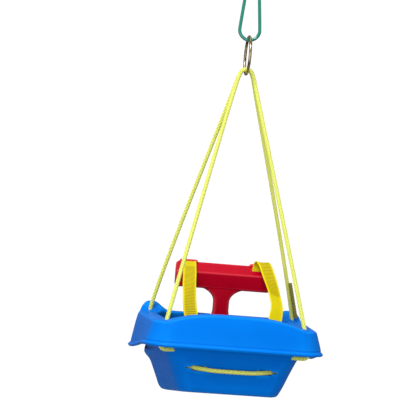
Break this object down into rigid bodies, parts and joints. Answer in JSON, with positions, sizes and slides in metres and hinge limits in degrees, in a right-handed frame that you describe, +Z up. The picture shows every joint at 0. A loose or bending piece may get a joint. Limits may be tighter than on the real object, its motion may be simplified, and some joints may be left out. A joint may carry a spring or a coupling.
{
  "type": "toddler bucket swing",
  "caption": "Hanging toddler swing with a moulded bucket seat, a hinged T-bar with shoulder straps, and ropes gathered on one ring.",
  "frame": {"origin": "inside the top bend of the hanger link, where the swing hangs on the hook above", "axes": "+Z up, +X to the right hand of the seated child, +Y to the front, the way the child faces"},
  "size_m": [0.4154, 0.355, 0.9446],
  "materials": {
    "seat_plastic": "blow-moulded polyethylene, satin",
    "bar_plastic": "moulded polyethylene, satin",
    "strap_plastic": "ribbed flexible strap",
    "rope": "hollow braided polypropylene",
    "link_coating": "glossy coating on steel wire",
    "ring_brass": "antique brass",
    "hardware_steel": "zinc-plated steel"
  },
  "bodies": {
    "hanger": {"hanger_link": "link_coating"},
    "ring": {"suspension_ring": "ring_brass"},
    "seat": {"seat_shell": "seat_plastic", "rear_rope": "rope", "front_rope": "rope", "front_rope_tail": "rope", "strap_left": "strap_plastic", "strap_right": "strap_plastic", "hinge_bolt": "hardware_steel", "head_washer": "hardware_steel", "nut_washer": "hardware_steel", "lock_nut": "hardware_steel", "spacer_left": "hardware_steel", "spacer_right": "hardware_steel"},
    "t_bar": {"t_bar": "bar_plastic"}
  },
  "joints": [
    {"name": "swing_fore_aft", "type": "hinge", "parent": "hanger", "child": "ring", "pos_m": [0, 0, -0.14625], "axis": [1, 0, 0], "range_deg": [-50, 50]},
    {"name": "swing_sideways", "type": "hinge", "parent": "ring", "child": "seat", "pos_m": [0, 0, -0.22195], "axis": [0, 1, 0], "range_deg": [-20, 20]},
    {"name": "t_bar_tilt", "type": "hinge", "parent": "seat", "child": "t_bar", "pos_m": [0, 0.1185, -0.7832], "axis": [1, 0, 0], "range_deg": [-4, 12], "deforming": ["strap_left", "strap_right"]}
  ]
}
